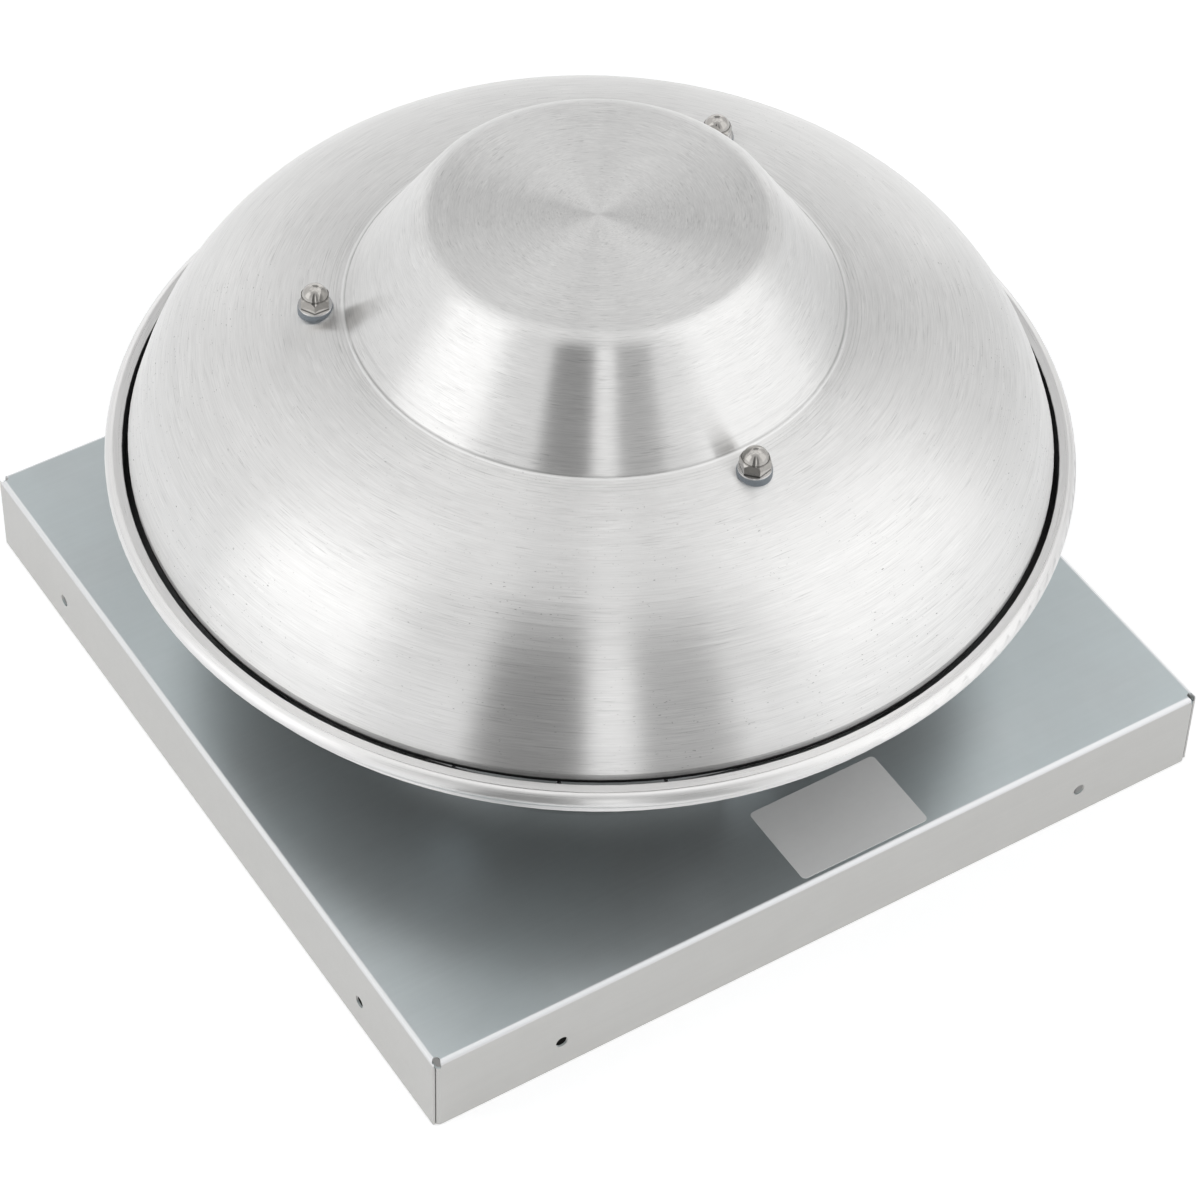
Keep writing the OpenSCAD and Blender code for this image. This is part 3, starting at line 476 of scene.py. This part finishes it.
MATERIALS = {
    # The zinc sheet's colours hold painted light: a cool lit top, a warmer and darker flange, and the
    # painted highlight on the bends
    "zinc_sheet": coated_sheet("zinc_sheet", (0.585, 0.63, 0.64), (0.54, 0.535, 0.52),
                               (0.76, 0.76, 0.77), 0.34),
    "throat_aluminium": spun_metal("throat_aluminium", (0.60, 0.60, 0.60), 0.32, 0.6, wide=0.01, lanes=2,
                                   dark=throat_painted_shade),
    "windband_aluminium": spun_metal("windband_aluminium", (0.72, 0.715, 0.71), 0.3, 0.7, wide=0.003,
                                     lanes=2.5, marks=0.7, relief=band_relief, dark=band_painted_shade),
    "hood_aluminium": spun_metal("hood_aluminium", (0.745, 0.742, 0.735), 0.325, 1.0, fine=0.00055,
                                 marks=1.5, pits=True, lines=FOOT_PAINTED_LINES, relief=hood_relief,
                                 dark=hood_painted_shade),
    "bracket_steel": sheet_metal("bracket_steel", (0.60, 0.62, 0.64), 0.32, grain_scale=120),
    "bright_hardware": sheet_metal("bright_hardware", (0.70, 0.70, 0.71), 0.25, grain_scale=300),
    "polished_nut": polished_steel("polished_nut", (0.43, 0.415, 0.395), 0.05, NUT_FOOT, NUT_SHADE_RINGS),
    "seal_rubber": paint("seal_rubber", (0.20, 0.225, 0.25), 0.5),
    "guard_wire": sheet_metal("guard_wire", (0.42, 0.42, 0.43), 0.3, grain_scale=300),
    "motor_paint": paint("motor_paint", (0.035, 0.035, 0.038), 0.4),
    "lamination": sheet_metal("lamination", (0.32, 0.32, 0.33), 0.45, grain_scale=200),
    "winding": sheet_metal("winding", (0.55, 0.25, 0.12), 0.35, grain_scale=400, bump_strength=0.4),
    "capacitor_can": sheet_metal("capacitor_can", (0.72, 0.73, 0.74), 0.3, grain_scale=100),
    "box_zinc": sheet_metal("box_zinc", (0.62, 0.64, 0.66), 0.3, grain_scale=70),
    "black_steel": paint("black_steel", (0.02, 0.02, 0.02), 0.45),
    "shaft_steel": sheet_metal("shaft_steel", (0.68, 0.68, 0.69), 0.2, grain_scale=250),
    "spider_steel": sheet_metal("spider_steel", (0.58, 0.59, 0.60), 0.32, grain_scale=90),
    "blade_aluminium": sheet_metal("blade_aluminium", (0.72, 0.73, 0.74), 0.34, grain_scale=50),
}

for part in frame["record"]["subparts"]:
    mesh = nodes[part["node"]].data
    mesh.materials.clear()
    mesh.materials.append(MATERIALS[part["material_slot"]])
# The washers are brighter than the nuts on them
washer_steel = sheet_metal("washer_steel", (0.80, 0.80, 0.80), 0.12, grain_scale=300)
nodes["hood_washers"].data.materials[0] = washer_steel


# The bare plate on the cap

def new_object(name, points, faces):
    mesh = bpy.data.meshes.new(name)
    mesh.from_pydata(points, [], faces)
    o = bpy.data.objects.new(name, mesh)
    bpy.context.scene.collection.objects.link(o)
    return o


def bare_plate(low, high, corner, thick):
    """A thin plate with round corners and an eased edge, lying on the cap."""
    ease, arc = thick * 0.4, 8
    points = []
    for inset, z in ((0, 0.0), (0, thick - ease), (ease, thick)):
        for k, (sx, sy) in enumerate(((1, 1), (-1, 1), (-1, -1), (1, -1))):
            cx = (high[0] if sx > 0 else low[0]) - sx * corner
            cy = (high[1] if sy > 0 else low[1]) - sy * corner
            for j in range(arc + 1):
                t = math.radians(90 * (k + j / arc))
                reach = corner - inset
                points.append((cx + reach * math.cos(t), cy + reach * math.sin(t), CAP_TOP + z))
    n = 4 * (arc + 1)
    faces = [(i * n + k, i * n + (k + 1) % n, (i + 1) * n + (k + 1) % n, (i + 1) * n + k)
             for i in range(2) for k in range(n)]
    faces += [tuple(range(2 * n, 3 * n)), tuple(range(n - 1, -1, -1))]
    o = new_object("bare_plate", points, faces)
    satin = sheet_metal("plate_satin", (0.80, 0.80, 0.79), 0.5, spangle=0.012, grain_scale=220, metallic=0.1)
    o.data.materials.append(satin)
    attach(o, "housing")


bare_plate((-0.0145, -0.2371), (0.0653, -0.1848), 0.0028, 0.00025)


# Studio: white floor and surround, two soft lamps, and cards for the metal to reflect

MIDDLE = Vector((0, 0, 0.15))
LAMP_DISTANCE = 2.4
# The fill that the world gives to plain surfaces, and the floor's glow where the lens and metal see it
FILL_COLOUR, FILL = (0.97, 0.985, 1), 0.55
FLOOR_GLOW = 0.5
FLOOR_REACH, FLOOR_DROP, FLOOR_WHITE = 12, 0.0004, (0.86, 0.86, 0.86)
# Under the cap: the floor's glow, which lights the fan's underside though it is no lamp, and the painted
# shade that the lens sees of the floor through the holes.
# The floor turns white between the two distances of UNDER_EDGE, in from the cap's sides.
# In the cap's corners, where x and y add up to more than CORNER_SLANT, a part of that white shows.
UNDER_GLOW = 0.6
UNDER_CAP_SHADE = (0.04, 0.04, 0.04)
UNDER_EDGE = (0.004, 0.003)
CORNER_SLANT, CORNER_SHOWN = (0.400, 0.404), 0.3
# The cards: the farthest one's distance and the step to the next, and their limits of elevation in degrees
FARTHEST, CARD_STEP = 9.0, 0.3
LOWEST, HIGHEST = -0.9, 88
FLOOR_CARD_LIFT = 0.0002


def seen_white(nt):
    """1 for the rays that see the background: straight from the lens, off metal and through glass."""
    path = add(nt, "ShaderNodeLightPath")
    return larger(nt, path.outputs["Is Camera Ray"],
                  larger(nt, path.outputs["Is Glossy Ray"], path.outputs["Is Transmission Ray"]))


def make_world():
    w = bpy.data.worlds.new("studio")
    bpy.context.scene.world = w
    w.use_nodes = True
    nt = w.node_tree
    nt.nodes.clear()
    white = add(nt, "ShaderNodeBackground")
    white.inputs[0].default_value = (1, 1, 1, 1)
    fill = add(nt, "ShaderNodeBackground")
    fill.inputs[0].default_value = (*FILL_COLOUR, 1)
    fill.inputs[1].default_value = FILL
    mix = blend_shader(nt, seen_white(nt), fill.outputs[0], white.outputs[0])
    nt.links.new(mix, add(nt, "ShaderNodeOutputWorld").inputs[0])


def make_floor():
    """White, clear from below, and under the cap painted with shade for the lens while it glows to light the
    fan's underside.
    """
    corners = [(sx * FLOOR_REACH, sy * FLOOR_REACH, 0) for sx, sy in ((-1, -1), (1, -1), (1, 1), (-1, 1))]
    o = new_object("floor", corners, [(0, 1, 2, 3)])
    o.location.z = -FLOOR_DROP
    m, nt, surface = blank("floor")
    x, y, _ = parts_of(nt, add(nt, "ShaderNodeTexCoord").outputs["Object"])
    across = larger(nt, absolute(nt, x), absolute(nt, y))
    outside = span(nt, across, CAP_SIDE / 2 - UNDER_EDGE[0], CAP_SIDE / 2 - UNDER_EDGE[1])
    slant = plus(nt, absolute(nt, x), absolute(nt, y))
    lit = larger(nt, outside, span(nt, slant, *CORNER_SLANT, 0, CORNER_SHOWN))
    direct = add(nt, "ShaderNodeLightPath").outputs["Is Camera Ray"]
    shown = larger(nt, lit, minus(nt, 1, direct))
    dull = add(nt, "ShaderNodeBsdfDiffuse")
    put(nt, dull.inputs[0], blend_colour(nt, shown, UNDER_CAP_SHADE, FLOOR_WHITE))
    glow = add(nt, "ShaderNodeEmission")
    glow.inputs[0].default_value = (1, 1, 1, 1)
    level = larger(nt, times(nt, seen_white(nt), FLOOR_GLOW), span(nt, outside, 0, 1, UNDER_GLOW, 0))
    put(nt, glow.inputs[1], times(nt, level, shown))
    both = add(nt, "ShaderNodeAddShader")
    nt.links.new(dull.outputs[0], both.inputs[0])
    nt.links.new(glow.outputs[0], both.inputs[1])
    clear = add(nt, "ShaderNodeBsdfTransparent")
    from_below = add(nt, "ShaderNodeNewGeometry").outputs["Backfacing"]
    nt.links.new(blend_shader(nt, from_below, both.outputs[0], clear.outputs[0]), surface)
    o.data.materials.append(m)


def lamp(name, azimuth, elevation, size, power):
    """A soft lamp at an azimuth from the lens, which metal doesn't mirror."""
    data = bpy.data.lights.new(name, "AREA")
    data.shape = "RECTANGLE"
    data.size, data.size_y = size
    data.energy = power
    o = bpy.data.objects.new(name, data)
    bpy.context.scene.collection.objects.link(o)
    back = aim(CAM_AZ + math.radians(azimuth), math.radians(elevation))
    o.location = MIDDLE + back * LAMP_DISTANCE
    o.rotation_mode = "QUATERNION"
    o.rotation_quaternion = (-back).to_track_quat("-Z", "Y")
    o.visible_glossy = False


def only_metal_sees(o):
    o.visible_camera = False
    o.visible_diffuse = False
    o.visible_shadow = False
    o.visible_transmission = False


def glowing(nt, level):
    glow = add(nt, "ShaderNodeEmission")
    glow.inputs[1].default_value = level
    return glow.outputs[0]


def card(name, azimuths, elevations, soft, level, distance):
    """A curved card between two azimuths from the lens, whose edges fade out over soft degrees."""
    centre, half = sum(azimuths) / 2, (azimuths[1] - azimuths[0]) / 2
    side = half + soft[0] / 2
    fade = soft[1] / 2
    low, high = max(LOWEST, elevations[0] - fade), min(HIGHEST, elevations[1] + fade)
    columns, rows = max(4, int(side / 4)), max(4, int((high - low) / 6))

    def at(i, j):
        turn, rise = side * (2 * i / columns - 1), low + (high - low) * j / rows
        return tuple(aim(math.radians(turn), math.radians(rise)) * distance)

    wide = columns + 1
    faces = [(j * wide + i, j * wide + i + 1, (j + 1) * wide + i + 1, (j + 1) * wide + i)
             for j in range(rows) for i in range(columns)]
    o = new_object(name, [at(i, j) for j in range(rows + 1) for i in range(columns + 1)], faces)
    o.location = MIDDLE
    o.rotation_euler.z = CAM_AZ + math.radians(centre)

    m, nt, surface = blank(name)
    x, y, z = parts_of(nt, add(nt, "ShaderNodeTexCoord").outputs["Object"])
    turn = absolute(nt, calc(nt, "ARCTAN2", x, times(nt, y, -1)))
    rise = calc(nt, "ARCSINE", over(nt, z, distance))
    inner, outer = math.radians(half - soft[0] / 2), math.radians(side)
    bottom = [math.radians(elevations[0] + v) for v in (-fade, fade)]
    top = [math.radians(elevations[1] + v) for v in (-fade, fade)]
    shown = times(nt, span(nt, turn, inner, outer, 1, 0, smooth=True),
                  times(nt, span(nt, rise, *top, 1, 0, smooth=True),
                        span(nt, rise, *bottom, 0, 1, smooth=True)))
    clear = add(nt, "ShaderNodeBsdfTransparent")
    nt.links.new(blend_shader(nt, shown, clear.outputs[0], glowing(nt, level)), surface)
    o.data.materials.append(m)
    only_metal_sees(o)


def floor_card(name, azimuths, near, level):
    """A dark strip on the floor under a flag."""
    ends = ((azimuths[0], near), (azimuths[1], near), (azimuths[1], FARTHEST), (azimuths[0], FARTHEST))
    o = new_object(name, [tuple(aim(CAM_AZ + math.radians(a), 0) * r) for a, r in ends], [(0, 1, 2, 3)])
    o.location.z = FLOOR_CARD_LIFT
    m, nt, surface = blank(name)
    nt.links.new(glowing(nt, level), surface)
    o.data.materials.append(m)
    only_metal_sees(o)


make_world()
make_floor()
lamp("lamp_left", -78, 38, (1.1, 1.7), 9)
lamp("lamp_right", 72, 42, (1.0, 1.6), 8)

# What the spun metal mirrors, from the farthest card to the nearest.
# Each has a name, azimuths from the lens, elevations, soft edges and a level.
# The two flags make the dark bands on the hood.
CARDS = (
    ("overhead", (-180, 180), (61.5, 120), (1, 24), 1.31),
    ("back_low", (148, 212), (-60, 27), (30, 16), 1.26),
    ("front_grey", (-61, 59), (28, 81), (40, 40), 0.76),
    ("left_box", (-87, -49), (-10, 49), (16, 24), 1.62),
    ("right_box", (51, 108), (-10, 61), (20, 24), 1.38),
    ("right_grey", (119, 152), (-40, 39), (20, 24), 0.86),
    ("left_rear", (-160, -143), (-10, 40), (12, 24), 1.30),
    ("right_rear", (152, 174), (-10, 38), (12, 24), 1.42),
    ("back_left_high", (-146, -100), (42, 71), (30, 24), 1.22),
    ("back_right_high", (100, 147), (41, 73), (30, 24), 1.48),
    ("back_grey", (159, 202), (30, 58), (6, 9), 0.43),
    ("strip", (0, 12), (-80, 44), (2, 36), 1.34),
    ("flag_left", (-21, 1.0), (-80, 62), (2, 30), 0.24),
    ("flag_right", (11.5, 30), (-80, 55), (3, 36), 0.44),
)
for step, (name, azimuths, elevations, soft, level) in enumerate(CARDS):
    card(name, azimuths, elevations, soft, level, FARTHEST - CARD_STEP * step)
floor_card("floor_flag_left", (-21, 1), 0.45, 0.28)
floor_card("floor_flag_right", (11.5, 30), 0.45, 0.54)
